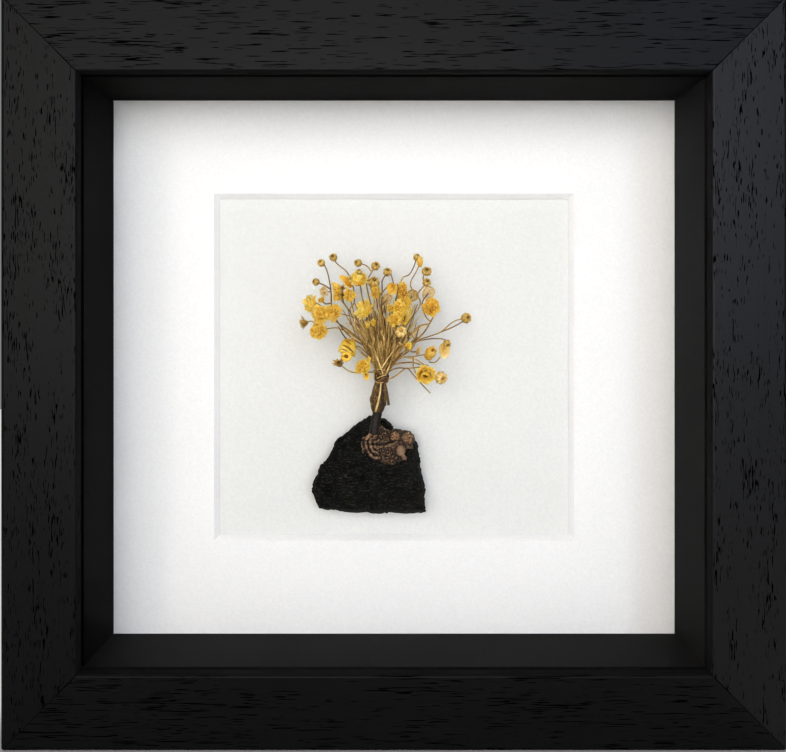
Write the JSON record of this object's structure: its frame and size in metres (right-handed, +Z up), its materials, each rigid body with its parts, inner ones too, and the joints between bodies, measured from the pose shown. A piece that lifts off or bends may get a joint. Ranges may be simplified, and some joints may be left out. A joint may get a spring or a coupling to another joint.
{
  "type": "dried flower box frame",
  "caption": "Deep black wooden box frame with a bevelled white mount, holding a tied bunch of small dried yellow flowers on a dark stone behind glass.",
  "frame": {"origin": "middle of the underside of the bottom rail, where the frame stands", "axes": "+X to the right, +Y from the glass towards the back, +Z up"},
  "size_m": [0.25, 0.045, 0.24],
  "materials": {
    "black_wood": "black stained open-pore wood with a satin sheen",
    "glass": "clear picture glass",
    "black_spacer": "smooth matte black painted strip",
    "mount_board": "off-white board with a bevelled window",
    "backing_card": "off-white smooth card",
    "hardboard": "brown hardboard",
    "steel": "zinc plated sheet steel",
    "hanger_metal": "brass plated sheet steel",
    "dark_stone": "rough black slate-like stone",
    "lichen": "ruffled brown lichen-grown bark",
    "tape": "dark brown crepe floral tape",
    "straw": "dry straw-coloured stems",
    "twine": "dark brown fibre",
    "dried_flower": "crisp dried yellow petals and straw stems"
  },
  "bodies": {
    "root": {"rail_top": "black_wood", "rail_bottom": "black_wood", "stile_left": "black_wood", "stile_right": "black_wood", "glass_pane": "glass", "spacer_top": "black_spacer", "spacer_bottom": "black_spacer", "spacer_left": "black_spacer", "spacer_right": "black_spacer", "window_mount": "mount_board", "backing_card": "backing_card", "back_panel": "hardboard", "tab_top_1": "steel", "tab_top_2": "steel", "tab_bottom_1": "steel", "tab_bottom_2": "steel", "tab_left_1": "steel", "tab_left_2": "steel", "tab_right_1": "steel", "tab_right_2": "steel", "sawtooth_hanger": "hanger_metal", "hanger_nail_left": "hanger_metal", "hanger_nail_right": "hanger_metal", "stone": "dark_stone", "lichen_flake": "lichen", "taped_foot": "tape", "stem_bunch": "straw", "tie": "twine", "sprig_01": "dried_flower", "sprig_02": "dried_flower", "sprig_03": "dried_flower", "sprig_04": "dried_flower", "sprig_05": "dried_flower", "sprig_06": "dried_flower", "sprig_07": "dried_flower", "sprig_08": "dried_flower", "sprig_09": "dried_flower", "sprig_10": "dried_flower", "sprig_11": "dried_flower", "sprig_12": "dried_flower", "sprig_13": "dried_flower", "sprig_14": "dried_flower", "sprig_15": "dried_flower", "sprig_16": "dried_flower", "sprig_17": "dried_flower", "sprig_18": "dried_flower", "sprig_19": "dried_flower", "sprig_20": "dried_flower", "sprig_21": "dried_flower", "sprig_22": "dried_flower", "sprig_23": "dried_flower", "sprig_24": "dried_flower", "sprig_25": "dried_flower", "sprig_26": "dried_flower", "sprig_27": "dried_flower"}
  },
  "joints": []
}
